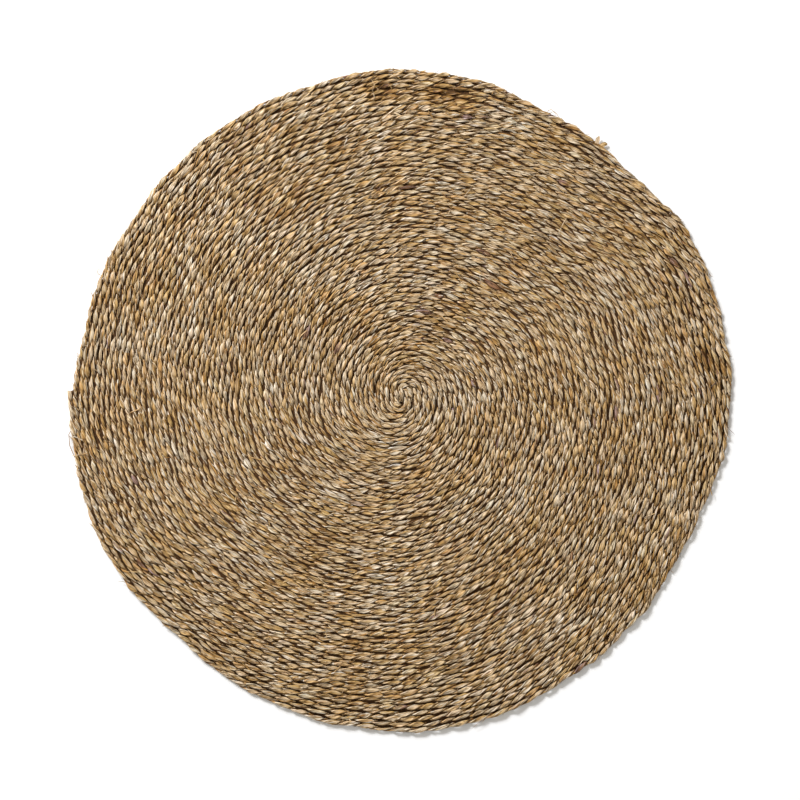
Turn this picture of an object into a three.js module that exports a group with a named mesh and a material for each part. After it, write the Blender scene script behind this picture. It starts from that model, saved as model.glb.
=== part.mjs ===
// Round seagrass rug: one long two-ply seagrass cord, wound into a flat
// spiral and sewn turn to turn. The solid is the wound rug as it lies on a
// floor: flat underneath, a half-round rim as thick as the cord, and the
// uneven outline that a hand-wound coil has, with a step of one cord where
// the cord ends.
//
// Millimetres, +Z up. The origin is on the floor, under the middle of the
// rug's bounding box. Seen from above, the cord winds outwards clockwise and
// ends at the -X side, pointing to +Y.

import * as THREE from "three";

// ---- driving dimensions ----
const CORD_PITCH = 6.94; // width that one turn of the sewn cord takes
const THICKNESS = 7.5; // height of the cord as it lies
const RIM_RADIUS = 452.6; // from the spiral's centre to the rim where the cord ends
const CORD_END_DEG = 179; // direction of the cord's end, counter-clockwise from +X
const END_TAPER_DEG = 0.9; // the cut end takes about one cord width of the rim
const RIM_STEPS = 240; // facets round the rim
const EDGE_STEPS = 6; // facets over the half-round rim, floor to top

// Where the hand-wound outline stands out of (or in from) the plain spiral.
// at:  degrees back along the cord from its end
// out: millimetres outwards
const OUTLINE = [
  { at: 0, out: 4.5 },
  { at: 15, out: 5.0 },
  { at: 30, out: 8.0 },
  { at: 45, out: -1.0 },
  { at: 60, out: 3.5 },
  { at: 75, out: 6.0 },
  { at: 90, out: 8.0 },
  { at: 105, out: 6.5 },
  { at: 120, out: -1.0 },
  { at: 135, out: -4.5 },
  { at: 150, out: -12.0 },
  { at: 165, out: -7.0 },
  { at: 180, out: 2.0 },
  { at: 195, out: 0.5 },
  { at: 210, out: 4.5 },
  { at: 225, out: -10.0 },
  { at: 240, out: -10.5 },
  { at: 255, out: -4.0 },
  { at: 270, out: 1.0 },
  { at: 285, out: -2.0 },
  { at: 300, out: -1.5 },
  { at: 315, out: -2.5 },
  { at: 330, out: -2.5 },
  { at: 345, out: -0.5 },
];

// A smooth closed curve through the table's rows.
function bulge(at) {
  const n = OUTLINE.length;
  const span = 360 / n;
  const i = Math.floor(at / span);
  const t = at / span - i;
  const y = (k) => OUTLINE[((k % n) + n) % n].out;
  const m1 = (y(i + 1) - y(i - 1)) / 2;
  const m2 = (y(i + 2) - y(i)) / 2;
  return (
    (2 * t ** 3 - 3 * t ** 2 + 1) * y(i) +
    (t ** 3 - 2 * t ** 2 + t) * m1 +
    (-2 * t ** 3 + 3 * t ** 2) * y(i + 1) +
    (t ** 3 - t ** 2) * m2
  );
}

// The rim's distance from the spiral's centre. Going back along the cord from
// its end, the spiral loses one cord width over the full turn.
function rimRadius(at) {
  return RIM_RADIUS - (CORD_PITCH * at) / 360 + bulge(at);
}

// The outline, counter-clockwise seen from above. The last point stands just
// past the cord's end, one cord width further in.
const rim = [];
for (let k = 0; k < RIM_STEPS; k++) {
  const at = (k * (360 - END_TAPER_DEG)) / (RIM_STEPS - 1);
  const a = ((CORD_END_DEG + at) * Math.PI) / 180;
  rim.push({ r: rimRadius(at), cos: Math.cos(a), sin: Math.sin(a) });
}

// One ring of points for each facet line of the rim's half-round section.
const half = THICKNESS / 2;
const position = [];
for (let j = 0; j <= EDGE_STEPS; j++) {
  const t = (-0.5 + j / EDGE_STEPS) * Math.PI;
  const inset = half - half * Math.cos(t);
  const z = half + half * Math.sin(t);
  for (const p of rim)
    position.push((p.r - inset) * p.cos, (p.r - inset) * p.sin, z);
}
const under = position.length / 3;
position.push(0, 0, 0);
position.push(0, 0, THICKNESS);

const index = [];
for (let k = 0; k < RIM_STEPS; k++) {
  const n = (k + 1) % RIM_STEPS;
  for (let j = 0; j < EDGE_STEPS; j++) {
    const a = j * RIM_STEPS + k;
    const b = j * RIM_STEPS + n;
    const c = a + RIM_STEPS;
    const d = b + RIM_STEPS;
    index.push(a, b, d, a, d, c);
  }
  index.push(under, n, k); // flat underside, facing down
  const top = EDGE_STEPS * RIM_STEPS;
  index.push(under + 1, top + k, top + n); // top face, facing up
}

const geometry = new THREE.BufferGeometry();
geometry.setAttribute(
  "position",
  new THREE.Float32BufferAttribute(position, 3),
);
geometry.setIndex(index);
geometry.computeVertexNormals();

// The spiral's centre is a little off the middle of the uneven outline: the
// mesh is placed so that the middle of its bounding box is over the origin.
geometry.computeBoundingBox();
const middle = geometry.boundingBox.getCenter(new THREE.Vector3());

const seagrass = new THREE.MeshStandardMaterial({
  color: new THREE.Color().setRGB(0.58, 0.48, 0.36, THREE.SRGBColorSpace),
  roughness: 0.75,
  metalness: 0,
});

const rug = new THREE.Mesh(geometry, seagrass);
rug.name = "rug";
rug.position.set(-middle.x, -middle.y, 0);

const object = new THREE.Group();
object.add(rug);

export default object;
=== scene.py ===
import math

import bpy
import numpy as np
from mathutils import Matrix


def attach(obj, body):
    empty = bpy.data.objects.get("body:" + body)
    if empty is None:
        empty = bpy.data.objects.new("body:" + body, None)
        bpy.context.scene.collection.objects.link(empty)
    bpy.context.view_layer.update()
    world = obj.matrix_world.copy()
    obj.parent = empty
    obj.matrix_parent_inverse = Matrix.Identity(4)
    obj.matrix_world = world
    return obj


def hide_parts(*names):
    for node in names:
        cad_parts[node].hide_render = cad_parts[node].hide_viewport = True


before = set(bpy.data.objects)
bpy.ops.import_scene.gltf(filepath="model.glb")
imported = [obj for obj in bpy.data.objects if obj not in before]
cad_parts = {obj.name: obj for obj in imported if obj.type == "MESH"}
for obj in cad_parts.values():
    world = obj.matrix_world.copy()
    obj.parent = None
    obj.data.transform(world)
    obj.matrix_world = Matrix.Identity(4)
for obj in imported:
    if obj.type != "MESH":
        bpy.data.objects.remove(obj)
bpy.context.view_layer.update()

# Round seagrass rug. One two-ply cord is wound from the centre into a flat
# spiral, clockwise and outwards seen from above. Both plies are modelled along
# the cord's whole length. Metres, +Z up, the rug lies on z = 0.

MM = 0.001
rng = np.random.default_rng(20)

# ---- the coil, as in the CAD ----
PITCH = 6.94 * MM  # one turn of the sewn cord
RIM_RADIUS = 452.6 * MM  # spiral's centre to the rim at the cord's end
CORD_END_DEG = 179.0
END_TAPER_DEG = 0.9
RIM_STEPS = 240
THICKNESS = 7.5 * MM

# at: degrees back along the cord from its end; out: millimetres off the spiral
OUTLINE = [
    {"at": 0, "out": 4.5},
    {"at": 15, "out": 5.0},
    {"at": 30, "out": 8.0},
    {"at": 45, "out": -1.0},
    {"at": 60, "out": 3.5},
    {"at": 75, "out": 6.0},
    {"at": 90, "out": 8.0},
    {"at": 105, "out": 6.5},
    {"at": 120, "out": -1.0},
    {"at": 135, "out": -4.5},
    {"at": 150, "out": -12.0},
    {"at": 165, "out": -7.0},
    {"at": 180, "out": 2.0},
    {"at": 195, "out": 0.5},
    {"at": 210, "out": 4.5},
    {"at": 225, "out": -10.0},
    {"at": 240, "out": -10.5},
    {"at": 255, "out": -4.0},
    {"at": 270, "out": 1.0},
    {"at": 285, "out": -2.0},
    {"at": 300, "out": -1.5},
    {"at": 315, "out": -2.5},
    {"at": 330, "out": -2.5},
    {"at": 345, "out": -0.5},
]

# ---- the cord ----
LEAD = 43.0 * MM  # length of one full twist of the two plies
PLY_HALF_WIDTH = 3.18 * MM
PLY_OUT = 1.48 * MM  # ply's half thickness towards the outside of the cord
PLY_IN = 1.25 * MM  # and towards the other ply
PLY_SIDE = 1.32 * MM  # ply's middle from the cord's middle, when it is at the side
PLY_UP = 2.14 * MM  # and when it is on top
FLATTEN = 0.14  # a ply lies flat on top and turns over quickly at the side
LAG = 0.14  # a ply's end stays up over the start of the next lobe, radians of twist
RINGS = 8  # rings for each full twist
SIDE_UP = 0.50 * MM  # both plies ride up where they lie side by side
SQUEEZE = 0.34  # a ply is this much narrower at the side
BLADE_SKEW = 62.0  # degrees that the blades turn round the ply over one lobe
FOLD_HALF = 8.0 * MM  # half length of the straight fold at the centre
INNER_TURNS = 0.6  # the first turns are pulled tighter by this many turns in all
RANGES = 8  # stretches of cord, each a piece for each ply
RIM_LOBES = 0.45 * MM  # the outer turn's plies stand out this much more at its rim

# Stretches of darker or redder cord, by place on the mat.
# x, y: millimetres from the spiral's centre; r: their reach; down: how much darker
DARK_STRETCHES = [
    {"x": -33.0, "y": 421.0, "r": 19.0, "down": 0.30},
    {"x": 50.0, "y": 412.0, "r": 22.0, "down": 0.26},
    {"x": 84.0, "y": 407.0, "r": 20.0, "down": 0.22},
    {"x": 415.0, "y": 53.0, "r": 14.0, "down": 0.30},
    {"x": 212.0, "y": 236.0, "r": 12.0, "down": 0.22},
    {"x": -32.0, "y": 284.0, "r": 6.0, "down": 0.40},
    {"x": 426.0, "y": 16.0, "r": 8.0, "down": 0.34},
    {"x": -236.0, "y": -148.0, "r": 13.0, "down": 0.18},
    {"x": 128.0, "y": -302.0, "r": 15.0, "down": 0.18},
    {"x": 209.0, "y": 357.0, "r": 9.0, "down": 0.28},
    {"x": 227.0, "y": 293.0, "r": 4.0, "down": 0.40},
]


def bulge(at):
    """The outline's table as a smooth closed curve, in metres."""
    out = np.array([row["out"] for row in OUTLINE]) * MM
    n = len(out)
    x = (np.asarray(at) % 360.0) / (360.0 / n)
    i = np.floor(x).astype(int)
    t = x - i
    y0, y1, y2, y3 = (out[(i + k) % n] for k in (-1, 0, 1, 2))
    m1, m2 = (y2 - y0) / 2, (y3 - y1) / 2
    return (
        (2 * t**3 - 3 * t**2 + 1) * y1
        + (t**3 - 2 * t**2 + t) * m1
        + (-2 * t**3 + 3 * t**2) * y2
        + (t**3 - t**2) * m2
    )


def smooth_noise(s, length, seed):
    """Smooth random curve over s with about unit swing, features of the given length."""
    r = np.random.default_rng(seed)
    s = np.asarray(s)
    x = (s - s.min()) / length
    n = int(x.max()) + 5
    y = r.standard_normal(n)
    i = np.floor(x).astype(int)
    t = x - i
    a, b, c, d = y[i], y[i + 1], y[i + 2], y[i + 3]
    m1, m2 = (c - a) / 2, (d - b) / 2
    v = (
        (2 * t**3 - 3 * t**2 + 1) * b
        + (t**3 - 2 * t**2 + t) * m1
        + (-2 * t**3 + 3 * t**2) * c
        + (t**3 - t**2) * m2
    )
    return np.clip(v, -2.2, 2.2)


def field(x, y, waves, seed):
    """Smooth random field over the rug: waves is (shortest, longest) in metres."""
    r = np.random.default_rng(seed)
    total = np.zeros_like(x)
    count = 14
    for _ in range(count):
        k = 2 * math.pi / r.uniform(*waves)
        a, p = r.uniform(0, 2 * math.pi, 2)
        total += np.sin(k * (x * math.cos(a) + y * math.sin(a)) + p)
    return total / math.sqrt(count / 2)


# The spiral's centre, from the middle of the outline's box, as in the CAD
at = np.linspace(0, 360 - END_TAPER_DEG, RIM_STEPS)
rim_r = RIM_RADIUS - PITCH * at / 360 + bulge(at)
rim_a = np.radians(CORD_END_DEG + at)
rim_x, rim_y = rim_r * np.cos(rim_a), rim_r * np.sin(rim_a)
CENTRE = (
    -(rim_x.min() + rim_x.max()) / 2,
    -(rim_y.min() + rim_y.max()) / 2,
)

# ---- the cord's middle line ----
# T counts turns from the centre.
TURNS = (RIM_RADIUS - PITCH / 2) / PITCH + INNER_TURNS


def middle_line():
    start = 0.25
    T = np.linspace(start, TURNS, 140000)
    alpha = CORD_END_DEG + 360.0 * (TURNS - T)
    a = np.radians(alpha)
    back = 360.0 * (TURNS - T)
    # plain spiral with the outline's bulges fading to the centre
    plain = PITCH * (T - INNER_TURNS * (1 - np.exp(-T / 12)))
    rb = plain + bulge(back) * np.clip(plain / RIM_RADIUS, 0, 1) ** 1.4
    # around the centre fold: half turns about two centres
    p = PITCH * 0.953
    x0 = -0.23 * p
    side = (TURNS + CORD_END_DEG / 360.0) % 1.0  # T of the crossings on the right
    left = (side + 0.5) % 1.0
    first_top = left if left < side else left - 1.0
    half = np.floor((T - first_top) * 2)  # 0 is the first half turn over the top
    top = half % 2 == 0
    ra = np.where(half < 0, 0.0, (half + 1) / 2 * p)
    xa = np.where(half < 0, x0, np.where(top, x0 + p / 2, x0))
    # ends of the fold, one above the other, with a short change at each side
    reach = FOLD_HALF * np.exp(-T / 10)
    nearest = np.round((T - first_top) * 2) / 2 + first_top
    width = np.clip(0.03 + 0.012 * T, 0.03, 0.24)
    d = np.clip((T - nearest) / width, -1, 1)
    d = d * (1.5 - 0.5 * d * d)
    # at a crossing on the left the cord goes up, on the right it goes down
    turning_up = (np.round((nearest - first_top) * 2) % 2) == 0
    yc = np.where(turning_up, d, -d)
    yc = reach * np.where(T < first_top - 0.03, -1.0, yc)
    w = np.clip((T - 3) / 5, 0, 1)
    w = w * w * (3 - 2 * w)
    r = ra * (1 - w) + rb * w
    xc = xa * (1 - w)
    x = xc + r * np.cos(a)
    y = yc + r * np.sin(a)
    keep = T > first_top - 0.03
    x, y, T = x[keep], y[keep], T[keep]
    # the whole mat is a little uneven, and each turn is a little uneven itself
    rr = np.hypot(x, y)
    soft = np.clip(rr / 0.05, 0, 1)
    push = 0.85 * MM * field(x, y, (0.05, 0.15), 3) * soft
    ux, uy = x / np.maximum(rr, 1e-6), y / np.maximum(rr, 1e-6)
    x, y = x + ux * push, y + uy * push
    s = np.concatenate([[0], np.cumsum(np.hypot(np.diff(x), np.diff(y)))])
    own = (
        0.38 * MM * smooth_noise(s, 0.045, 11) + 0.34 * MM * smooth_noise(s, 0.017, 12)
    ) * np.clip(s / 0.1, 0, 1)
    tx, ty = np.gradient(x, s), np.gradient(y, s)
    n = np.hypot(tx, ty)
    tx, ty = tx / n, ty / n
    x, y = x - ty * own, y + tx * own
    s = np.concatenate([[0], np.cumsum(np.hypot(np.diff(x), np.diff(y)))])
    return s, x + CENTRE[0], y + CENTRE[1], T


S, X, Y, T = middle_line()
LENGTH = float(S[-1])
TX, TY = np.gradient(X, S), np.gradient(Y, S)
_n = np.hypot(TX, TY)
TX, TY = TX / _n, TY / _n
# height of the cord's middle, and the twist
Z = (
    THICKNESS / 2
    + 0.20 * MM * smooth_noise(S, 0.06, 21)
    + 0.12 * MM * field(X, Y, (0.05, 0.2), 22)
)
R_HERE = np.hypot(X - CENTRE[0], Y - CENTRE[1])
LEAD_HERE = LEAD * (
    0.60
    + 0.28 * np.clip(R_HERE / 0.035, 0, 1)
    + 0.14 * np.clip(R_HERE / 0.3, 0, 1)
    + 0.080 * smooth_noise(S, 0.35, 31)
    + 0.075 * smooth_noise(S, 0.06, 32)
    + 0.105 * smooth_noise(S, 0.022, 33) * (0.6 + np.clip(R_HERE / 0.05, 0, 0.7))
)
PHASE = np.concatenate(
    [[0], np.cumsum(2 * math.pi / LEAD_HERE[:-1] * np.diff(S))]
)  # turns the other way round the cord than it grows
PHASE_END = float(PHASE[-1])
SIZE = (
    1 + 0.035 * smooth_noise(S, 0.25, 41) + 0.035 * smooth_noise(S, 0.07, 42)
)  # the whole cord's thickness
# the outer turn has no neighbour outside it
OUTER = np.clip((T - (TURNS - 1.01)) / 0.03, 0, 1)


# A lobe is one pass of a ply over the top (even numbers) or the underside (odd).
# Every lobe has its own numbers, fixed along it and changing at the cord's sides.
LOBES = int(PHASE_END / math.pi) + 12


def lobe_table(seed, spread, columns=1):
    """One random number for each ply and lobe (and blade)."""
    r = np.random.default_rng(seed)
    v = np.clip(r.standard_normal((2, LOBES, columns)), -2.3, 2.3) * spread
    return v if columns > 1 else v[..., 0]


LOBE = {
    "width": lobe_table(101, 0.185),
    "thick": lobe_table(102, 0.120),
    "shift": lobe_table(103, 0.72 * MM),
    "rise": lobe_table(104, 0.40 * MM),
    "roll": lobe_table(105, math.radians(12)),
    "split_a": lobe_table(106, math.radians(12)),
    "split_b": lobe_table(107, math.radians(12)),
    "crack_a": np.abs(lobe_table(115, 0.62)) ** 1.6 * MM,
    "crack_b": np.abs(lobe_table(116, 0.62)) ** 1.6 * MM,
    "skew": lobe_table(108, 0.30),
    "crown": lobe_table(109, 0.16 * MM),
}
BLADE_LIFT = lobe_table(110, 0.27 * MM, 3)
BLADE_TONE = (
    0.50
    + lobe_table(111, 0.055)[..., None]
    + lobe_table(112, 0.104, 3)
)
SHARP_DRAW = np.random.default_rng(114).random((2, LOBES, 3))
# the blades of most lobes come from one leaf and share its hue
_hue = np.random.default_rng(113).random((2, LOBES, 4))
BLADE_HUE = np.where(_hue[..., 3:] * 7 % 1 < 0.6, _hue[..., 3:], _hue[..., :3])


def lobe_at(s, ply):
    """Position in lobes: whole numbers are the middles of the passes."""
    return (np.interp(s, S, PHASE) - math.pi * ply - 0.6 + math.pi / 2) / math.pi + 2.0


# the cord's cut end is pale and golden
for _ply in (0, 1):
    _last = int(round(float(lobe_at(S[-1], _ply))))
    BLADE_TONE[_ply, _last - 1 : _last + 2] = 0.60 + 0.4 * (BLADE_TONE[_ply, _last - 1 : _last + 2] - 0.50)
    BLADE_HUE[_ply, _last - 1 : _last + 2] = 0.6
    for _key in ("crack_a", "crack_b"):
        LOBE[_key][_ply, _last - 1 : _last + 2] *= 0.3


def by_lobe(at, values):
    """The lobes' own values along the ply, changing from one to the next at the sides."""
    k = np.floor(at).astype(int)
    t = np.clip((at - k - 0.34) / 0.32, 0, 1)
    t = t * t * (3 - 2 * t)
    if values.ndim > 1:
        t = t[..., None]
    return values[k] * (1 - t) + values[k + 1] * t


# the ply's section: angle round it, 0 faces out of the cord. Three blades show on it:
# the left one, the middle one and the right one, with a step between them
SECTION = np.array([-140, -92, -62, -27, -17, 4, 24, 34, 65, 93, 140.0])
NC = len(SECTION)
BLADE_OF = [0, 0, 0, 3, 1, 1, 4, 2, 2, 2, 5]  # of the face after each point; 3 and 4 are the steps, 5 the hidden side


def ply_frame(s, ply):
    """Where the ply's section stands at s: the cord's middle and two axes."""
    x, y, z = (np.interp(s, S, v) for v in (X, Y, Z))
    tx, ty = np.interp(s, S, TX), np.interp(s, S, TY)
    n = np.hypot(tx, ty)
    tx, ty = tx / n, ty / n
    nx, ny = -ty, tx  # left of the cord's way: outwards, as it winds clockwise
    at = lobe_at(s, ply)
    phi = math.pi / 2 - math.pi * (at - 2.0)
    late = phi + LAG
    turned = late + FLATTEN * np.sin(2 * late)
    roll = by_lobe(at, LOBE["roll"][ply])
    over = np.sin(late)
    high = np.sign(over) * np.abs(over) ** 0.52 + SIDE_UP / PLY_UP * np.cos(late) ** 2
    # each lobe lies a little to one side and higher or lower than it should
    shift = by_lobe(at, LOBE["shift"][ply]) * np.abs(over)
    rise = by_lobe(at, LOBE["rise"][ply]) * over
    mid = np.stack([x + nx * shift, y + ny * shift, z + rise], -1)
    side = np.cos(phi)
    c, si = np.cos(turned + roll), np.sin(turned + roll)
    out = np.stack([c * nx, c * ny, si], -1)
    across = np.stack([-si * nx, -si * ny, c], -1)
    size = np.interp(s, S, SIZE)
    wide = 1 - SQUEEZE * np.cos(late) ** 2
    outer = np.interp(s, S, OUTER) * np.clip(side, 0, 1)
    aside = size * PLY_SIDE * side + RIM_LOBES * outer**2
    mid = mid + np.stack([nx * aside, ny * aside, size * PLY_UP * high], -1)
    return mid, out, across, at, size, wide


def section_point(a, bo, bi, psi):
    """A flattened oval with firm shoulders."""
    cp, sp = np.cos(psi), np.sin(psi)
    b = np.where(cp > 0, bo, bi)
    return b * np.sign(cp) * np.abs(cp) ** 0.46, a * sp


def ply_point(s, ply, psi, lift=0.0):
    """A point on the ply's surface at s, psi round the section, lifted off it, and the way off it."""
    mid, out, across, at, size, wide = ply_frame(s, ply)
    w = size * wide * (1 + by_lobe(at, LOBE["width"][ply]))
    h = size * (1 + by_lobe(at, LOBE["thick"][ply]))
    xr, xt = section_point(PLY_HALF_WIDTH * w, PLY_OUT * h, PLY_IN * h, psi)
    cp, sp = np.cos(psi), np.sin(psi)
    p = mid + out * (xr + lift * cp)[..., None] + across * (xt + lift * sp)[..., None]
    return p, out * cp[..., None] + across * sp[..., None]


def lay_down(v):
    """Presses what would reach under the floor flat on it."""
    z = v[..., 2]
    low = z < 0.25 * MM
    z[low] = 0.25 * MM * np.exp((z[low] - 0.25 * MM) / (0.25 * MM))
    return v


def make_mesh(name, verts, quads, uvs=None, smooth=True, tris=None, sharp=None):
    """A mesh object from arrays. quads (n, 4) and tris (m, 3) index verts; uvs maps a
    layer's name to its loops' places; sharp says of two arrays of verts which edges are."""
    me = bpy.data.meshes.new(name)
    me.vertices.add(len(verts))
    me.vertices.foreach_set("co", np.ascontiguousarray(verts, dtype=np.float32).ravel())
    nq = len(quads)
    nt = 0 if tris is None else len(tris)
    loops = quads.ravel() if not nt else np.concatenate([quads.ravel(), tris.ravel()])
    me.loops.add(len(loops))
    me.loops.foreach_set("vertex_index", loops.astype(np.int32))
    starts = np.concatenate([np.arange(nq) * 4, nq * 4 + np.arange(nt) * 3])
    me.polygons.add(nq + nt)
    me.polygons.foreach_set("loop_start", starts.astype(np.int32))
    me.update(calc_edges=True)
    me.polygons.foreach_set("use_smooth", np.full(nq + nt, smooth))
    for layer, uv in (uvs or {}).items():
        made = me.uv_layers.new(name=layer)
        made.data.foreach_set("uv", np.ascontiguousarray(uv, dtype=np.float32).ravel())
    me.validate()
    if sharp is not None:
        ends = np.zeros(len(me.edges) * 2, np.int32)
        me.edges.foreach_get("vertices", ends)
        me.edges.foreach_set("use_edge_sharp", sharp(ends[0::2], ends[1::2]))
    me.update()
    ob = bpy.data.objects.new(name, me)
    bpy.context.scene.collection.objects.link(ob)
    return ob


# ---------------------------------------------------------------- materials
def new_material(name):
    m = bpy.data.materials.new(name)
    m.use_nodes = True
    nt = m.node_tree
    nt.nodes.clear()
    return m, nt


class Nodes:
    """Short calls for building a node tree."""

    def __init__(self, nt):
        self.nt = nt

    def add(self, kind, **values):
        n = self.nt.nodes.new(kind)
        for k, v in values.items():
            setattr(n, k, v)
        return n

    def link(self, a, b):
        self.nt.links.new(a, b)

    def put(self, socket, value):
        if isinstance(value, bpy.types.NodeSocket):
            self.link(value, socket)
        else:
            socket.default_value = value

    def math(self, op, a, b=0.0, c=None, clamp=False):
        n = self.add("ShaderNodeMath", operation=op, use_clamp=clamp)
        self.put(n.inputs[0], a)
        self.put(n.inputs[1], b)
        if c is not None:
            self.put(n.inputs[2], c)
        return n.outputs[0]

    def vector(self, x, y, z=0.0):
        n = self.add("ShaderNodeCombineXYZ")
        for i, v in enumerate((x, y, z)):
            self.put(n.inputs[i], v)
        return n.outputs[0]

    def ramp(self, value, stops, interpolation="LINEAR"):
        n = self.add("ShaderNodeValToRGB")
        cr = n.color_ramp
        cr.interpolation = interpolation
        while len(cr.elements) < len(stops):
            cr.elements.new(1.0)
        for e, (pos, col) in zip(cr.elements, stops):
            e.position = pos
            e.color = col
        self.put(n.inputs[0], value)
        return n.outputs[0]

    def noise(self, vec, scale=1.0, detail=2.0, roughness=0.5, dims="2D"):
        n = self.add("ShaderNodeTexNoise", noise_dimensions=dims)
        self.put(n.inputs["Vector"], vec)
        n.inputs["Scale"].default_value = scale
        n.inputs["Detail"].default_value = detail
        n.inputs["Roughness"].default_value = roughness
        return n.outputs["Fac"]

    def mix(self, fac, a, b, blend="MIX"):
        n = self.add("ShaderNodeMix", data_type="RGBA", blend_type=blend)
        self.put(n.inputs[0], fac)
        self.put(n.inputs[6], a)
        self.put(n.inputs[7], b)
        return n.outputs[2]

    def rescale(self, v, a, b, c, d, clamp=True):
        n = self.add("ShaderNodeMapRange", clamp=clamp)
        self.put(n.inputs[0], v)
        for i, k in enumerate((a, b, c, d)):
            n.inputs[i + 1].default_value = k
        return n.outputs[0]


def lin(r, g, b):
    """sRGB 0-255 to linear, with alpha."""
    return tuple(
        (c / 255 / 12.92) if c / 255 <= 0.04045 else ((c / 255 + 0.055) / 1.055) ** 2.4
        for c in (r, g, b)
    ) + (1.0,)


def seagrass(name, shade=1.0):
    """Twisted split seagrass. Its map 'strand' holds metres along the ply and metres
    round it, and its map 'tint' each blade's own tone and hue, with painted shade
    added in the grooves, on the steps and on the hidden side."""
    m, nt = new_material(name)
    g = Nodes(nt)
    uv = g.add("ShaderNodeUVMap", uv_map="strand").outputs[0]
    sep = g.add("ShaderNodeSeparateXYZ")
    g.link(uv, sep.inputs[0])
    u, v = sep.outputs[0], sep.outputs[1]
    own = g.add("ShaderNodeSeparateXYZ")
    g.link(g.add("ShaderNodeUVMap", uv_map="tint").outputs[0], own.inputs[0])
    own_tone, own_hue = own.outputs[0], own.outputs[1]
    # narrow strips within each blade
    blades = g.vector(g.math("DIVIDE", u, 0.019), g.math("DIVIDE", v, 0.00165))
    cell = g.add("ShaderNodeTexVoronoi", voronoi_dimensions="2D", feature="F1")
    g.put(cell.inputs["Vector"], blades)
    cell.inputs["Scale"].default_value = 1.0
    rnd = g.add("ShaderNodeSeparateXYZ")
    g.link(cell.outputs["Color"], rnd.inputs[0])
    edge = g.add(
        "ShaderNodeTexVoronoi", voronoi_dimensions="2D", feature="DISTANCE_TO_EDGE"
    )
    g.put(edge.inputs["Vector"], blades)
    edge.inputs["Scale"].default_value = 1.0
    crease = g.rescale(edge.outputs["Distance"], 0.01, 0.17, 0.0, 1.0)
    stretch = g.noise(g.vector(g.math("DIVIDE", u, 0.028), 0.37), 1.0, 2.0, 0.6)
    tone = g.math("ADD", own_tone, g.rescale(rnd.outputs[0], 0.0, 1.0, -0.15, 0.15))
    tone = g.math("ADD", tone, g.rescale(stretch, 0.28, 0.72, -0.08, 0.08), clamp=True)
    base = g.ramp(
        tone,
        [
            (0.00, lin(105, 71, 32)),
            (0.14, lin(151, 112, 55)),
            (0.34, lin(185, 151, 95)),
            (0.56, lin(198, 177, 146)),
            (0.78, lin(204, 192, 173)),
            (1.00, lin(209, 203, 192)),
        ],
    )
    # tan-orange blades, and grey-green ones
    warm = g.mix(1.0, base, (0.98, 0.80, 0.55, 1.0), "MULTIPLY")
    base = g.mix(g.rescale(own_hue, 0.82, 0.99, 0.0, 0.8), base, warm)
    grey = g.mix(1.0, base, (0.96, 0.995, 0.94, 1.0), "MULTIPLY")
    base = g.mix(g.rescale(own_hue, 0.0, 0.20, 0.7, 0.0), base, grey)
    # a few dark purplish ones
    plum = g.mix(1.0, base, (0.50, 0.40, 0.50, 1.0), "MULTIPLY")
    some = g.math("MULTIPLY", g.rescale(own_hue, 0.484, 0.485, 0.0, 1.0), g.rescale(own_hue, 0.491, 0.492, 1.0, 0.0))
    base = g.mix(some, base, plum)
    rose = g.mix(1.0, base, (1.04, 0.97, 0.97, 1.0), "MULTIPLY")
    base = g.mix(g.rescale(rnd.outputs[1], 0.60, 0.95, 0.0, 0.8), base, rose)
    # fibres along the blade
    fib = g.noise(
        g.vector(g.math("DIVIDE", u, 0.014), g.math("DIVIDE", v, 0.00065)), 1.0, 3.0, 0.65
    )
    streak = g.rescale(fib, 0.25, 0.75, 0.80, 1.14)
    spots = g.noise(
        g.vector(g.math("DIVIDE", u, 0.0035), g.math("DIVIDE", v, 0.0011)), 1.0, 2.0, 0.6
    )
    streak = g.math("MULTIPLY", streak, g.rescale(spots, 0.3, 0.7, 0.90, 1.07))
    # painted shade: the strips darken towards their creases
    streak = g.math("MULTIPLY", streak, g.rescale(crease, 0.0, 1.0, 0.34, 1.0))
    # some blades are shrunk into ribs, drawn as dark lines of painted shade between them
    wave = g.math("SINE", g.math("MULTIPLY_ADD", spots, 0.8, g.math("MULTIPLY", v, 2 * math.pi / 0.0018)))
    ribbed = g.math("MULTIPLY", g.rescale(own_hue, 0.26, 0.30, 0.0, 1.0), g.rescale(own_hue, 0.40, 0.44, 1.0, 0.0))
    rib = g.math("MULTIPLY", ribbed, g.rescale(wave, -0.8, 0.2, 0.68, 0.0))
    streak = g.math("MULTIPLY", streak, g.math("SUBTRACT", 1.0, rib))
    streak = g.math("MULTIPLY", streak, shade)
    # a darker fibre is browner, not only darker
    value = g.add("ShaderNodeCombineColor")
    for i, power in enumerate((1.0, 1.14, 1.42)):
        g.link(g.math("POWER", streak, power), value.inputs[i])
    colour = g.mix(1.0, base, value.outputs[0], "MULTIPLY")
    # painted shade: the inner side of the ply, deep between the plies, is darkened brown
    side = g.math("ABSOLUTE", g.math("MULTIPLY_ADD", fib, 0.0012, g.math("SUBTRACT", v, 0.0006)))
    # painted light: blades are made a little paler from the lobe's edge round onto the ply's sides
    pale = g.mix(1.0, colour, (1.04, 1.04, 1.05, 1.0), "MULTIPLY")
    colour = g.mix(g.rescale(side, 0.0016, 0.0024, 0.0, 1.0), colour, pale)
    deep = g.mix(1.0, colour, (0.60, 0.49, 0.34, 1.0), "MULTIPLY")
    colour = g.mix(g.rescale(side, 0.0044, 0.0052, 0.0, 1.0), colour, deep)
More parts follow.
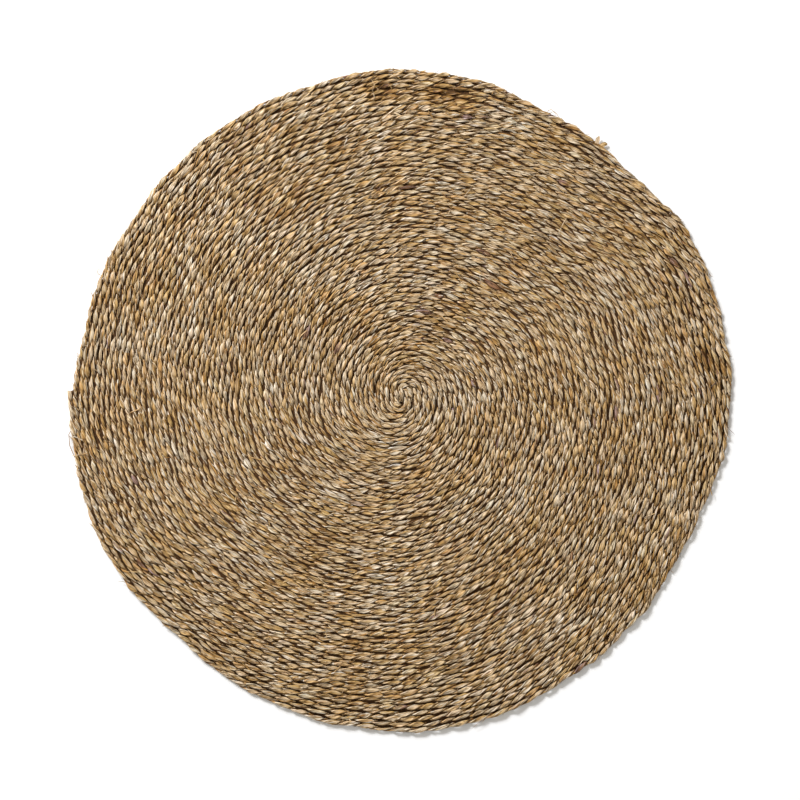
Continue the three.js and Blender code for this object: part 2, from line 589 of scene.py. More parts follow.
    # height: strips stand over their creases, with fine fibres
    height = g.math(
        "ADD",
        g.math("MULTIPLY", crease, 0.65),
        g.math("MULTIPLY", fib, 0.55),
    )
    bump = g.add("ShaderNodeBump")
    bump.inputs["Strength"].default_value = 0.7
    bump.inputs["Distance"].default_value = 0.00035
    g.link(height, bump.inputs["Height"])
    b = g.add("ShaderNodeBsdfPrincipled")
    g.link(colour, b.inputs["Base Color"])
    g.link(g.rescale(fib, 0.2, 0.8, 0.40, 0.58), b.inputs["Roughness"])
    b.inputs["Specular IOR Level"].default_value = 0.42
    g.link(bump.outputs[0], b.inputs["Normal"])
    o = g.add("ShaderNodeOutputMaterial")
    g.link(b.outputs[0], o.inputs[0])
    return m


def seam_shade_material():
    """The sewn middle between the turns, seen deep in the gaps: near black-brown as painted shade."""
    m, nt = new_material("seagrass_seam_shade")
    g = Nodes(nt)
    pos = g.add("ShaderNodeTexCoord").outputs["Object"]
    n1 = g.noise(pos, 260.0, 3.0, 0.6, "3D")
    n2 = g.noise(pos, 1400.0, 2.0, 0.6, "3D")
    t = g.math("ADD", g.math("MULTIPLY", n1, 0.7), g.math("MULTIPLY", n2, 0.3))
    # painted shade: near black-brown for the shade deep in the gaps between the turns
    col = g.ramp(
        t, [(0.30, lin(38, 23, 8)), (0.52, lin(62, 39, 16)), (0.75, lin(94, 65, 30))]
    )
    bump = g.add("ShaderNodeBump")
    bump.inputs["Strength"].default_value = 0.6
    bump.inputs["Distance"].default_value = 0.0005
    g.link(t, bump.inputs["Height"])
    b = g.add("ShaderNodeBsdfPrincipled")
    g.link(col, b.inputs["Base Color"])
    g.link(g.rescale(n2, 0.2, 0.8, 0.75, 0.95), b.inputs["Roughness"])
    b.inputs["Specular IOR Level"].default_value = 0.2
    g.link(bump.outputs[0], b.inputs["Normal"])
    o = g.add("ShaderNodeOutputMaterial")
    g.link(b.outputs[0], o.inputs[0])
    return m


SEAGRASS = seagrass("seagrass_ply")
FIBRE = seagrass("seagrass_fibre", shade=0.95)
SEAM_SHADE = seam_shade_material()

# ---------------------------------------------------------------- the plies
N_RINGS = int(round(PHASE_END / (2 * math.pi) * RINGS)) + 1
RING_S = np.interp(np.linspace(0, PHASE_END, N_RINGS), PHASE, S)
pieces = []

# ring numbers where the stretches begin: equal lengths of cord
CUTS = np.linspace(0, N_RINGS - 1, RANGES + 1).round().astype(int)

# how far each point of the section goes with the blades as they turn round the ply
GOES = np.array([0.25, 0.7, 0.9, 1, 1, 1, 1, 1, 0.9, 0.7, 0.25])
# the blade that each point belongs to, and how much of its lift it takes
LIFT_OF = [0, 0, 0, 0, 1, 1, 1, 2, 2, 2, 2]
LIFT_SHARE = np.array([0, 0.6, 1, 1, 1, 1, 1, 1, 1, 0.6, 0])


def atlas(count, rows):
    """Places of the rings' faces in the piece's own picture: rows of ply, one over the other."""
    per = int(math.ceil(count / rows))
    i = np.arange(count)
    pad = 1.5 / 1024
    u0 = (i % per) / per * (1 - 2 * pad) + pad
    u1 = (i % per + 1) / per * (1 - 2 * pad) + pad
    v0 = (i // per) / rows + pad
    return u0, u1, v0, 1.0 / rows - 2 * pad


def place_tone(x, y):
    """How much lighter or darker the blades are round a place on the mat."""
    t = 0.030 * field(x, y, (0.05, 0.22), 51)
    for row in DARK_STRETCHES:
        d = np.hypot(x - CENTRE[0] - row["x"] * MM, y - CENTRE[1] - row["y"] * MM)
        t = t - row["down"] * np.exp(-((d / (row["r"] * MM)) ** 4))
    return t


def build_ply(name, first, last, ply):
    s = RING_S[first : last + 1]
    n = len(s)
    mid, out, across, at, size, wide = ply_frame(s, ply)
    w = size * wide * (1 + by_lobe(at, LOBE["width"][ply]))
    h = size * (1 + by_lobe(at, LOBE["thick"][ply]))
    # the blades turn round the ply against the cord's twist while they show,
    # and back where they are hidden at the cord's sides
    f = at - np.round(at)
    fade = np.clip((0.5 - np.abs(f)) / 0.14, 0, 1)
    skew = BLADE_SKEW * (1 + by_lobe(at, LOBE["skew"][ply])) * f * fade
    psi = np.radians(SECTION[None, :] + skew[:, None] * GOES[None, :])
    psi[:, 3:5] += by_lobe(at, LOBE["split_a"][ply])[:, None]
    psi[:, 6:8] += by_lobe(at, LOBE["split_b"][ply])[:, None]
    lifts = by_lobe(at, BLADE_LIFT[ply])
    for blade in range(3):
        lifts[:, blade] += 0.09 * MM * smooth_noise(RING_S, 0.010, 700 + 10 * ply + blade)[first : last + 1]
    lift = lifts[:, LIFT_OF] * LIFT_SHARE[None, :]
    lift[:, 5] += 0.12 * MM + by_lobe(at, LOBE["crown"][ply])
    # the outer blades dip under the middle one, some with a deep crack
    lift[:, 3] -= by_lobe(at, LOBE["crack_a"][ply])
    lift[:, 7] -= by_lobe(at, LOBE["crack_b"][ply])
    xr, xt = section_point(
        (PLY_HALF_WIDTH * w)[:, None],
        (PLY_OUT * h)[:, None],
        (PLY_IN * h)[:, None],
        psi,
    )
    v = (
        mid[:, None, :]
        + out[:, None, :] * (xr + lift * np.cos(psi))[..., None]
        + across[:, None, :] * (xt + lift * np.sin(psi))[..., None]
    )
    v = lay_down(v)
    # painted shade: blades deep in the grooves are darker
    depth = THICKNESS / 2 + 3.6 * MM - np.abs(v[..., 2] - THICKNESS / 2) - THICKNESS / 2 + 0.15 * MM
    painted_groove_shade = np.clip((depth - 1.5 * MM) / (1.8 * MM), 0, 1)
    v = v.reshape(-1, 3)
    order = np.arange(NC)
    nxt = np.roll(order, -1)
    i = np.arange(n - 1)[:, None] * NC
    quads = np.stack(
        [
            i + order[None, :],
            i + NC + order[None, :],
            i + NC + nxt[None, :],
            i + nxt[None, :],
        ],
        -1,
    ).reshape(-1, 4)
    # metres round the section at each point, 0 at the outside
    xr0, xt0 = section_point(PLY_HALF_WIDTH, PLY_OUT, PLY_IN, np.radians(SECTION))
    ring = np.stack([xr0, xt0], -1)
    step = np.hypot(*(np.roll(ring, -1, 0) - ring).T)
    w_at = np.concatenate([[0], np.cumsum(step)])
    w_at = w_at - w_at[5]
    w_lo, w_hi = w_at[:-1], w_at[1:]
    shift = 400.0 * ply
    strand = np.zeros((n - 1, NC, 4, 2))
    s0, s1 = s[:-1, None] + shift, s[1:, None] + shift
    for k, (su, wv) in enumerate(((s0, w_lo), (s1, w_lo), (s1, w_hi), (s0, w_hi))):
        strand[:, :, k, 0] = su
        strand[:, :, k, 1] = wv[None, :]
    # each blade's tone and hue, one for a face
    lobe = np.round((at[:-1] + at[1:]) / 2).astype(int)
    tone3, hue3 = BLADE_TONE[ply][lobe], BLADE_HUE[ply][lobe]
    crack_a, crack_b = LOBE["crack_a"][ply][lobe] / MM, LOBE["crack_b"][ply][lobe] / MM
    # painted shade: the step faces between blades darken where the crack is deep, and the hidden side between the
    # plies is darker
    tone = np.stack(
        [tone3[:, 0], tone3[:, 1], tone3[:, 2]]
        + [
            np.minimum(tone3[:, 0], tone3[:, 1]) - 0.9 * np.clip(crack_a - 0.15, 0, 1),
            np.minimum(tone3[:, 1], tone3[:, 2]) - 0.9 * np.clip(crack_b - 0.15, 0, 1),
            np.full(n - 1, 0.30),
        ],
        -1,
    )[:, BLADE_OF]
    hue = np.stack(
        [hue3[:, 0], hue3[:, 1], hue3[:, 2], hue3[:, 1], hue3[:, 1], np.full(n - 1, 0.5)],
        -1,
    )[:, BLADE_OF]
    here = place_tone(mid[:, 0], mid[:, 1])
    tint = np.zeros((n - 1, NC, 4, 2))
    # painted shade: the tone is lowered deep in the grooves
    down = -0.04 * painted_groove_shade
    downs = (down[:-1], down[1:], np.roll(down, -1, 1)[1:], np.roll(down, -1, 1)[:-1])
    for k, add in enumerate((here[:-1], here[1:], here[1:], here[:-1])):
        tint[:, :, k, 0] = np.clip(tone + add[:, None] + downs[k], 0.0, 1.0)
        tint[:, :, k, 1] = hue
    # the piece's own picture: the hidden side gets little of it
    share = np.concatenate([[0], np.cumsum(np.where(np.array(BLADE_OF) == 5, step * 0.3, step))])
    share /= share[-1]
    u0, u1, v0, height = atlas(n - 1, 20)
    bake = np.zeros((n - 1, NC, 4, 2))
    for k, (uu, sh) in enumerate(
        ((u0, share[:-1]), (u1, share[:-1]), (u1, share[1:]), (u0, share[1:]))
    ):
        bake[:, :, k, 0] = uu[:, None]
        bake[:, :, k, 1] = v0[:, None] + height * sh[None, :]
    # flat cut ends
    caps, cap_strand, cap_bake, cap_tint = [], [], [], []
    for end, flip in ((0, False), (n - 1, True)):
        o = order if not flip else order[::-1]
        base = end * NC
        for k in range(1, NC - 1):
            caps.append([base + o[0], base + o[k], base + o[k + 1]])
            cap_strand.append([[s[end] + shift, 0.0030]] * 3)
            cap_bake.append([[0.0005, 0.0005], [0.0008, 0.0005], [0.0005, 0.0008]])
            cap_tint.append([[0.45, 0.5]] * 3)
    uvs = {
        "OFBake": np.concatenate([bake.reshape(-1, 2), np.array(cap_bake).reshape(-1, 2)]),
        "strand": np.concatenate(
            [strand.reshape(-1, 2), np.array(cap_strand).reshape(-1, 2)]
        ),
        "tint": np.concatenate([tint.reshape(-1, 2), np.array(cap_tint).reshape(-1, 2)]),
    }
    draw = SHARP_DRAW[ply][np.round(at).astype(int)]

    def sharp(e0, e1):
        ring0, col0, col1 = e0 // NC, e0 % NC, e1 % NC
        along = col0 == col1
        always = np.isin(col0, (2, 3, 4, 6, 7, 8))
        often = (col0 == 5) & (draw[ring0, 2] > 0.55)
        return along & (always | often)

    ob = make_mesh(name, v, quads, uvs, True, np.array(caps), sharp)
    ob.data.materials.append(SEAGRASS)
    return ob


for r in range(RANGES):
    for ply in (0, 1):
        ob = build_ply(f"cord_{'ab'[ply]}_{r + 1}", CUTS[r], CUTS[r + 1], ply)
        pieces.append(ob)


# ---------------------------------------------------------------- loose blades
def ribbons(name, path, half, up, thick, tone, hue, seed):
    """Thin blades folded along their middle, closed. path and up: (n, k, 3), half width
    and thickness: (n, k), tone and hue: (n,)."""
    n, k, _ = path.shape
    along = np.gradient(path, axis=1)
    along /= np.linalg.norm(along, axis=2, keepdims=True)
    side = np.cross(up, along)
    side /= np.linalg.norm(side, axis=2, keepdims=True)
    v = np.stack(
        [path - side * half[..., None], path + side * half[..., None], path + up * thick[..., None]],
        2,
    )
    v = lay_down(v).reshape(-1, 3)
    b = np.arange(n)[:, None, None] * k * 3 + np.arange(k - 1)[None, :, None] * 3
    e, e1 = np.array([0, 1, 2])[None, None, :], np.array([1, 2, 0])[None, None, :]
    quads = np.stack([b + e, b + e1, b + 3 + e1, b + 3 + e], -1).reshape(-1, 4)
    c = np.arange(n) * k * 3
    last = c + (k - 1) * 3
    tris = np.concatenate(
        [np.stack([c + 1, c, c + 2], -1), np.stack([last, last + 1, last + 2], -1)]
    )
    r = np.random.default_rng(seed)
    length = np.concatenate(
        [np.zeros((n, 1)), np.cumsum(np.linalg.norm(np.diff(path, axis=1), axis=2), 1)], 1
    ) + r.uniform(0, 50, n)[:, None] + 1000
    v_off = r.uniform(-0.0012, 0.0012, n)
    across = np.stack([-half, half, 0 * half], -1)
    strand = np.zeros((n, k - 1, 3, 4, 2))
    bake = np.zeros((n, k - 1, 3, 4, 2))
    cols = int(math.ceil(math.sqrt(n)))
    cu, cv = (np.arange(n) % cols) / cols, (np.arange(n) // cols) / cols
    cell = 1.0 / cols
    third = [(0.0, 0.30), (0.33, 0.63), (0.66, 0.96)]
    for j in range(3):
        ends = ((0, j), (0, (j + 1) % 3), (1, (j + 1) % 3), (1, j))
        for q, (d, corner) in enumerate(ends):
            rows = np.arange(k - 1) + d
            strand[:, :, j, q, 0] = length[:, rows]
            strand[:, :, j, q, 1] = 0.55 * across[:, rows, corner] + v_off[:, None]
            bake[:, :, j, q, 0] = cu[:, None] + cell * (0.03 + 0.94 * rows[None, :] / (k - 1))
            bake[:, :, j, q, 1] = cv[:, None] + cell * third[j][0 if q in (0, 3) else 1]
    tri_strand = np.zeros((len(tris), 3, 2))
    tri_strand[:, :, 0] = np.concatenate([length[:, 0], length[:, -1]])[:, None]
    tri_bake = np.zeros((len(tris), 3, 2))
    tri_bake[:, :, 0] = np.concatenate([cu, cu])[:, None] + cell * np.array([0.03, 0.05, 0.03])[None, :]
    tri_bake[:, :, 1] = np.concatenate([cv, cv])[:, None] + cell * np.array([0.02, 0.02, 0.05])[None, :]
    face = np.stack([tone, hue], -1)
    tint = np.broadcast_to(face[:, None, None, None, :], (n, k - 1, 3, 4, 2))
    tri_tint = np.broadcast_to(np.concatenate([face, face])[:, None, :], (2 * n, 3, 2))
    uvs = {
        "OFBake": np.concatenate([bake.reshape(-1, 2), tri_bake.reshape(-1, 2)]),
        "strand": np.concatenate([strand.reshape(-1, 2), tri_strand.reshape(-1, 2)]),
        "tint": np.concatenate([tint.reshape(-1, 2), tri_tint.reshape(-1, 2)]),
    }
    ob = make_mesh(name, v, quads, uvs, False, tris)
    ob.data.materials.append(FIBRE)
    pieces.append(ob)
    return ob


def lobe_start(r, n, under, last):
    """Random places on lobes: ply, lobe and the cord's length there."""
    ply = r.integers(0, 2, n)
    lobe = r.integers(3, last, n)
    lobe = lobe // 2 * 2 + (1 if under else 0)
    f = r.uniform(-0.42, 0.05, n)
    phase = math.pi * (lobe + f - 2.0) + math.pi * ply + 0.6 - math.pi / 2
    s = np.interp(phase, PHASE, S)
    return ply, lobe, s


def skins(name, n, under, seed, last=LOBES - 14):
    """Blades that have come loose on a ply: they lie on it, turning round it."""
    r = np.random.default_rng(seed)
    ply, lobe, s0 = lobe_start(r, n, under, last)
    length = np.clip(r.lognormal(math.log(14), 0.38, n), 6, 32) * MM
    k = 4
    way = np.linspace(0, 1, k)[None, :]
    s = np.minimum(s0[:, None] + length[:, None] * way, LENGTH - 0.001)
    psi = np.radians(r.uniform(-62, 48, n)[:, None] + r.normal(34, 22, n)[:, None] * way * length[:, None] / (14 * MM))
    high = r.uniform(0.12, 0.55, n)[:, None] * MM
    ends = np.where(r.random((n, 2)) < 0.75, -0.25, r.uniform(0.3, 1.1, (n, 2))) * MM
    lift = np.concatenate([ends[:, :1], high, high * r.uniform(0.6, 1.3, (n, 1)), ends[:, 1:]], 1)
    path, up = np.zeros((n, k, 3)), np.zeros((n, k, 3))
    for which in (0, 1):
        m = ply == which
        p, q = ply_point(s[m].ravel(), which, psi[m].ravel(), lift[m].ravel())
        path[m], up[m] = p.reshape(-1, k, 3), q.reshape(-1, k, 3)
    half = np.clip(r.lognormal(math.log(0.74), 0.38, n), 0.25, 1.5)[:, None] * MM
    half = half * np.array([0.55, 1.0, 0.95, 0.4])[None, :]
    thick = half * r.uniform(0.12, 0.34, n)[:, None]
    here = place_tone(path[:, 1, 0], path[:, 1, 1])
    tone = np.clip(0.49 + 0.15 * r.standard_normal(n) + here, 0, 0.84)
    return ribbons(name, path, half, up, thick, tone, 0.24 + 0.76 * r.random(n), seed + 1)


def bridges(name, n, seed):
    """Stray blades that lie across the lobes and the turns."""
    r = np.random.default_rng(seed)
    s0 = r.uniform(0.3, LENGTH - 0.3, n)
    x, y = np.interp(s0, S, X), np.interp(s0, S, Y)
    tx, ty = np.interp(s0, S, TX), np.interp(s0, S, TY)
    a = np.arctan2(ty, tx) + np.radians(r.normal(8, 26, n))
    bend = np.radians(r.normal(0, 28, n))
    length = np.clip(r.lognormal(math.log(13), 0.4, n), 5, 30) * MM
    k = 5
    j = np.linspace(-0.5, 0.5, k)[None, :]
    ang = a[:, None] + bend[:, None] * j
    step = length[:, None] / (k - 1)
    px = x[:, None] + np.concatenate([np.zeros((n, 1)), np.cumsum(np.cos(ang[:, 1:]) * step, 1)], 1)
    py = y[:, None] + np.concatenate([np.zeros((n, 1)), np.cumsum(np.sin(ang[:, 1:]) * step, 1)], 1)
    top = THICKNESS / 2 + (3.45 + r.uniform(-0.15, 0.45, n)[:, None]) * MM
    dip = np.array([1.5, 0.25, 0, 0.25, 1.5])[None, :] * r.uniform(0.3, 1.2, (n, 1)) * MM
    path = np.stack([px, py, top - dip + 0 * px], -1)
    up = np.zeros((n, k, 3))
    up[..., 2] = 1
    up[..., :2] = r.normal(0, 0.30, (n, 1, 2))
    up /= np.linalg.norm(up, axis=2, keepdims=True)
    half = np.clip(r.lognormal(math.log(0.42), 0.4, n), 0.15, 1.0)[:, None] * MM
    half = half * np.array([0.5, 1.0, 1.0, 0.9, 0.35])[None, :]
    thick = half * r.uniform(0.2, 0.5, n)[:, None]
    tone = np.clip(0.38 + 0.15 * r.standard_normal(n) + place_tone(x, y), 0, 0.8)
    return ribbons(name, path, half, up, thick, tone, 0.24 + 0.76 * r.random(n), seed + 1)


def whiskers(name, n, seed):
    """Short ends of blades that stick out of the rug's rim."""
    r = np.random.default_rng(seed)
    s0 = np.interp(TURNS - r.uniform(0.01, 0.99, n), T, S)
    x, y = np.interp(s0, S, X), np.interp(s0, S, Y)
    a0 = np.arctan2(np.interp(s0, S, TY), np.interp(s0, S, TX))
    k = 4
    way = np.linspace(0, 1, k)[None, :]
    length = np.clip(r.lognormal(math.log(5.5), 0.4, n), 2.5, 12)[:, None] * MM
    a = a0[:, None] + np.radians(r.normal(16, 13, n)[:, None] + r.normal(8, 18, n)[:, None] * way)
    start = r.uniform(2.4, 3.0, n) * MM
    px = (x - start * np.sin(a0))[:, None] + length * way * np.cos(a)
    py = (y + start * np.cos(a0))[:, None] + length * way * np.sin(a)
    z = r.uniform(2.2, 5.6, n)[:, None] * MM + r.normal(0, 0.9, n)[:, None] * MM * way
    up = np.zeros((n, k, 3))
    up[..., 2] = 1
    up[..., :2] = r.normal(0, 0.4, (n, 1, 2))
    up /= np.linalg.norm(up, axis=2, keepdims=True)
    half = np.clip(r.lognormal(math.log(0.33), 0.4, n), 0.14, 0.8)[:, None] * MM
    half = half * np.array([1.0, 0.95, 0.75, 0.25])[None, :]
    thick = r.uniform(0.12, 0.25, n)[:, None] * MM * np.array([1, 1, 0.8, 0.4])[None, :]
    tone = np.clip(0.50 + 0.15 * r.standard_normal(n), 0, 0.85)
    return ribbons(name, np.stack([px, py, z], -1), half, up, thick, tone, 0.24 + 0.76 * r.random(n), seed + 1)


# Single blades that stand out. path: millimetres from the spiral's centre, with the
# height over the floor; half: half width
LOOSE = [
    {"path": [(-449, -38, 3.5), (-457.3, -51.9, 4.0), (-456.0, -67.6, 4.2), (-450.2, -81.1, 4.4), (-443.5, -93, 4.0)], "half": 0.52, "tone": 0.16, "hue": 0.93},
    {"path": [(-452.8, -81.1, 5.6), (-447, -80.6, 7.6), (-440, -79.6, 8.4), (-434, -78.2, 8.3), (-430.2, -77.4, 7.4)], "half": 0.62, "tone": 0.42, "hue": 0.88},
    {"path": [(-373, -22.2, 7.2), (-370.4, -21.1, 8.0), (-362, -18.0, 8.5), (-357, -14.4, 8.1), (-354, -13.0, 7.2)], "half": 0.66, "tone": 0.30, "hue": 0.85},
    {"path": [(-449.5, -12.2, 7.0), (-447.6, -13.7, 8.0), (-445.4, -16.6, 8.4), (-443.5, -18.6, 8.2), (-442.8, -20.2, 7.2)], "half": 0.62, "tone": 0.30, "hue": 0.50},
    {"path": [(-443.8, -19.6, 7.4), (-442.0, -17.6, 8.3), (-440.6, -15.0, 8.4), (-439.6, -13.2, 8.0), (-439.2, -12.0, 7.0)], "half": 0.55, "tone": 0.34, "hue": 0.50},
    {"path": [(265.4, 341.2, 3.4), (266.2, 345.4, 4.6), (267.0, 349.8, 5.4), (268.0, 353.2, 5.5), (269.8, 356.6, 5.0)], "half": 3.0, "tone": 0.64, "hue": 0.60},
    {"path": [(270.2, 340.2, 3.2), (272.4, 343.2, 4.2), (275.4, 345.4, 4.9), (278.0, 346.3, 4.9), (281.0, 345.8, 4.4)], "half": 3.3, "tone": 0.52, "hue": 0.10},
    {"path": [(-411.5, 165.7, 5.4), (-415.6, 167.0, 6.4), (-418.2, 169.8, 6.8), (-417.4, 173.6, 6.6), (-412.6, 174.8, 5.8)], "half": 0.55, "tone": 0.55, "hue": 0.60},
    {"path": [(-299.2, 314.6, 5.6), (-302.2, 317.6, 6.2), (-304.6, 320.0, 6.4), (-306.2, 322.0, 6.2), (-307.6, 323.8, 5.8)], "half": 0.42, "tone": 0.55, "hue": 0.60},
    {"path": [(421.6, 12.4, 7.6), (423.8, 14.0, 8.4), (426.6, 16.6, 8.8), (429.0, 19.0, 8.5), (430.6, 20.6, 7.6)], "half": 0.60, "tone": 0.12, "hue": 0.488},
    {"path": [(-42.3, 434.1, 7.4), (-38.2, 427.2, 8.3), (-40.9, 419.0, 8.6), (-38.2, 409.4, 8.4), (-42.3, 398.5, 7.4)], "half": 0.42, "tone": 0.58, "hue": 0.60},
    {"path": [(-36.0, 424.0, 7.4), (-33.2, 420.0, 8.4), (-35.4, 415.0, 8.6), (-39.6, 413.4, 8.4), (-43.0, 415.8, 7.4)], "half": 0.36, "tone": 0.60, "hue": 0.60},
    {"path": [(-19.8, 428.6, 7.4), (-16.4, 425.6, 8.3), (-14.9, 421.7, 8.6), (-16.2, 418.4, 8.3), (-18.8, 415.4, 7.4)], "half": 0.42, "tone": 0.55, "hue": 0.60},
    {"path": [(-20.2, 387.2, 7.4), (-16.6, 385.6, 8.3), (-13.6, 382.0, 8.6), (-14.6, 378.4, 8.3), (-17.2, 375.6, 7.4)], "half": 0.45, "tone": 0.50, "hue": 0.60},
    {"path": [(-80.2, 341.6, 7.4), (-79.0, 344.8, 8.6), (-77.8, 347.8, 9.4), (-76.6, 350.6, 9.8), (-75.6, 353.4, 9.9)], "half": 0.80, "tone": 0.84, "hue": 0.60},
    {"path": [(-36.0, 280.0, 7.5), (-34.0, 282.4, 8.4), (-31.8, 284.6, 8.7), (-29.8, 286.6, 8.4), (-28.0, 288.2, 7.4)], "half": 0.55, "tone": 0.04, "hue": 0.488},
    {"path": [(-35.4, 288.4, 7.5), (-33.8, 286.0, 8.4), (-32.6, 283.6, 8.8), (-30.8, 281.6, 8.4), (-29.2, 279.6, 7.4)], "half": 0.50, "tone": 0.06, "hue": 0.488},
    {"path": [(-26.8, -286.0, 7.4), (-25.4, -289.2, 8.4), (-23.4, -292.8, 8.6), (-20.8, -290.2, 8.5), (-18.6, -286.8, 7.4)], "half": 0.50, "tone": 0.80, "hue": 0.60},
    {"path": [(122.4, 413.4, 7.4), (124.2, 417.6, 8.5), (128.0, 419.2, 8.8), (131.4, 415.8, 8.6), (130.4, 411.6, 7.4)], "half": 0.60, "tone": 0.34, "hue": 0.85},
    {"path": [(-221.2, -141.2, 7.4), (-218.8, -144.6, 8.4), (-216.4, -148.2, 8.7), (-214.2, -151.6, 8.5), (-211.6, -155.2, 7.6)], "half": 0.62, "tone": 1.00, "hue": 0.10},
    {"path": [(198.0, 389.0, 5.6), (200.6, 392.0, 6.6), (204.4, 393.4, 7.0), (207.4, 390.0, 6.6), (210.6, 386.0, 6.0)], "half": 0.42, "tone": 0.30, "hue": 0.50},
    {"path": [(202.0, 386.4, 5.6), (204.6, 389.6, 6.6), (208.4, 390.0, 7.0), (212.0, 386.4, 6.6), (214.6, 382.0, 6.0)], "half": 0.36, "tone": 0.40, "hue": 0.50},
    {"path": [(225.4, 246.0, 7.6), (221.4, 239.0, 8.5), (217.4, 231.4, 8.7), (214.6, 224.8, 8.5), (212.0, 218.2, 7.5)], "half": 0.46, "tone": 0.62, "hue": 0.85},
    {"path": [(187.6, 287.4, 7.5), (188.2, 281.4, 8.4), (190.6, 276.4, 8.6), (194.2, 273.0, 8.4), (198.4, 270.6, 7.5)], "half": 0.48, "tone": 0.36, "hue": 0.50},
    {"path": [(189.6, 334.8, 7.5), (193.4, 331.8, 8.3), (197.6, 328.8, 8.5), (201.8, 326.0, 8.3), (206.2, 323.0, 7.5)], "half": 0.50, "tone": 0.46, "hue": 0.02},
    {"path": [(-226.0, -137.6, 7.5), (-224.4, -139.7, 8.4), (-223.2, -141.8, 8.6), (-221.7, -143.8, 8.3), (-220.6, -145.6, 7.4)], "half": 0.80, "tone": 0.05, "hue": 0.488},
]


def loose_bits(name, seed):
    path = np.array([row["path"] for row in LOOSE]) * MM
    path[..., 0] += CENTRE[0]
    path[..., 1] += CENTRE[1]
    half = np.array([row["half"] for row in LOOSE])[:, None] * np.array([0.6, 1, 1, 0.9, 0.35])[None, :] * MM
    thick = np.full(half.shape, 0.28 * MM) * np.array([0.7, 1, 1, 1, 0.6])[None, :]
    up = np.zeros(path.shape)
    up[..., 2] = 1
    tone = np.array([row["tone"] for row in LOOSE])
    hue = np.array([row["hue"] for row in LOOSE])
    return ribbons(name, path, half, up, thick, tone, hue, seed)


whiskers("blades_rim", 110, 931)
loose_bits("blades_loose", 941)
skins("blades_top", 5600, False, 901)
skins("blades_middle", 260, False, 951, 110)
skins("blades_under", 900, True, 911)
bridges("blades_stray", 900, 921)

# ---------------------------------------------------------------- the seam bed, dark as painted shade
def seam_shade_bed():
    """The thin middle of the mat where the turns are pressed and sewn together, a dark sheet of painted shade under
    the gaps.
    """
    n = 180
    at = np.linspace(0, 360 - END_TAPER_DEG, n)
    r = RIM_RADIUS - PITCH * at / 360 + bulge(at) - 0.62 * PITCH
    a = np.radians(CORD_END_DEG + at)
    rings = np.linspace(0.1, 1, 4)
    lo_z, hi_z = THICKNESS / 2 - 0.4 * MM, THICKNESS / 2 + 0.4 * MM
    verts = [(CENTRE[0], CENTRE[1], hi_z), (CENTRE[0], CENTRE[1], lo_z)]
    for z in (hi_z, lo_z):
        for k in rings:
            for rr, aa in zip(r * k, a):
                verts.append((CENTRE[0] + rr * math.cos(aa), CENTRE[1] + rr * math.sin(aa), z))
    verts = np.array(verts)
    top, bot = 2, 2 + n * len(rings)
    quads, tris = [], []
    for j in range(len(rings) - 1):
        for k in range(n):
            m = (k + 1) % n
            a0, a1 = top + j * n + k, top + j * n + m
            b0, b1 = a0 + n, a1 + n
            quads.append([a0, b0, b1, a1])
            c0, c1 = bot + j * n + k, bot + j * n + m
            d0, d1 = c0 + n, c1 + n
            quads.append([c0, c1, d1, d0])
    e = (len(rings) - 1) * n
    for k in range(n):
        m = (k + 1) % n
        tris.append([0, top + k, top + m])
        tris.append([1, bot + m, bot + k])
        quads.append([top + e + k, bot + e + k, bot + e + m, top + e + m])
    ob = make_mesh("seam_shade_bed", verts, np.array(quads), None, True, np.array(tris))
    ob.data.materials.append(SEAM_SHADE)
    return ob


bed = seam_shade_bed()

for ob in pieces:
    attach(ob, "root")
    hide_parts("rug")
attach(bed, "root")
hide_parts("rug")

# ---------------------------------------------------------------- floor, light, camera
floor_mesh = bpy.data.meshes.new("floor")
F = 60.0
floor_mesh.from_pydata([(-F, -F, 0), (F, -F, 0), (F, F, 0), (-F, F, 0)], [], [(0, 1, 2, 3)])
floor = bpy.data.objects.new("floor", floor_mesh)
bpy.context.scene.collection.objects.link(floor)
fm, nt = new_material("floor_white")
g = Nodes(nt)
d = g.add("ShaderNodeBsdfDiffuse")
d.inputs["Color"].default_value = (0.82, 0.82, 0.82, 1)
o = g.add("ShaderNodeOutputMaterial")
g.link(d.outputs[0], o.inputs[0])
floor.data.materials.append(fm)

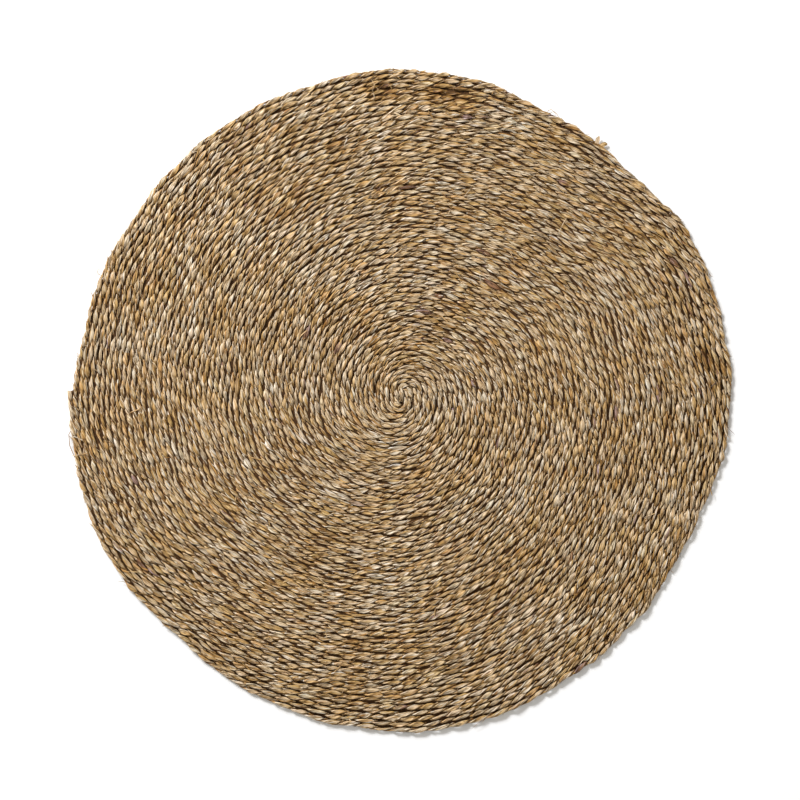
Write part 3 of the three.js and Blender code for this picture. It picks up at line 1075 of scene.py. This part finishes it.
LIGHT_AZ, LIGHT_EL = math.radians(126), math.radians(35)
to_sun = (
    math.cos(LIGHT_AZ) * math.cos(LIGHT_EL),
    math.sin(LIGHT_AZ) * math.cos(LIGHT_EL),
    math.sin(LIGHT_EL),
)
sun_data = bpy.data.lights.new("key", "SUN")
sun_data.energy = 2.55
sun_data.angle = math.radians(11)
sun_data.color = (0.985, 0.995, 1.02)
sun = bpy.data.objects.new("key", sun_data)
from mathutils import Vector

sun.rotation_euler = Vector(to_sun).to_track_quat("Z", "Y").to_euler()
sun.location = Vector(to_sun) * 3
bpy.context.scene.collection.objects.link(sun)

soft_data = bpy.data.lights.new("soft", "AREA")
soft_data.shape = "DISK"
soft_data.size = 0.8
soft_data.energy = 34.0
soft_data.color = (0.98, 0.995, 1.02)
soft = bpy.data.objects.new("soft", soft_data)
soft.rotation_euler = sun.rotation_euler
soft.location = Vector(to_sun) * 2.0
bpy.context.scene.collection.objects.link(soft)

world = bpy.data.worlds.new("studio")
world.use_nodes = True
wn = world.node_tree
wn.nodes["Background"].inputs[0].default_value = (1.0, 0.968, 0.91, 1)
wn.nodes["Background"].inputs[1].default_value = 0.59
bpy.context.scene.world = world
bpy.context.scene.view_settings.view_transform = "Standard"
bpy.context.scene.view_settings.look = "None"
bpy.context.scene.view_settings.exposure = 0.0

# photo pixels: the spiral's centre is at (401.9, 396.0), counted from the first pixel's middle
PX = 2 * 450 / 657.3 * MM
cam_data = bpy.data.cameras.new("camera")
cam_data.sensor_width = 36
cam_data.lens = 100
cam_data.clip_start, cam_data.clip_end = 0.05, 60
cam = bpy.data.objects.new("camera", cam_data)
width = 800 * PX
cam.location = (
    CENTRE[0] + (399.5 - 401.9) * PX,
    CENTRE[1] - (399.5 - 396.0) * PX,
    width * cam_data.lens / cam_data.sensor_width + THICKNESS,
)
cam.rotation_euler = (0, 0, 0)
bpy.context.scene.collection.objects.link(cam)
bpy.context.scene.camera = cam

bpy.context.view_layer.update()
triangles = sum(2 * len(o.data.polygons) - sum(1 for q in o.data.polygons if q.loop_total == 3) for o in pieces[2 * RANGES :] + [bed])
triangles += 4 * NC * (N_RINGS - 1) + 32 * (NC - 2)
print("triangles", triangles)
print("cord", LENGTH, "rings", N_RINGS, "turns", TURNS, "centre", CENTRE)
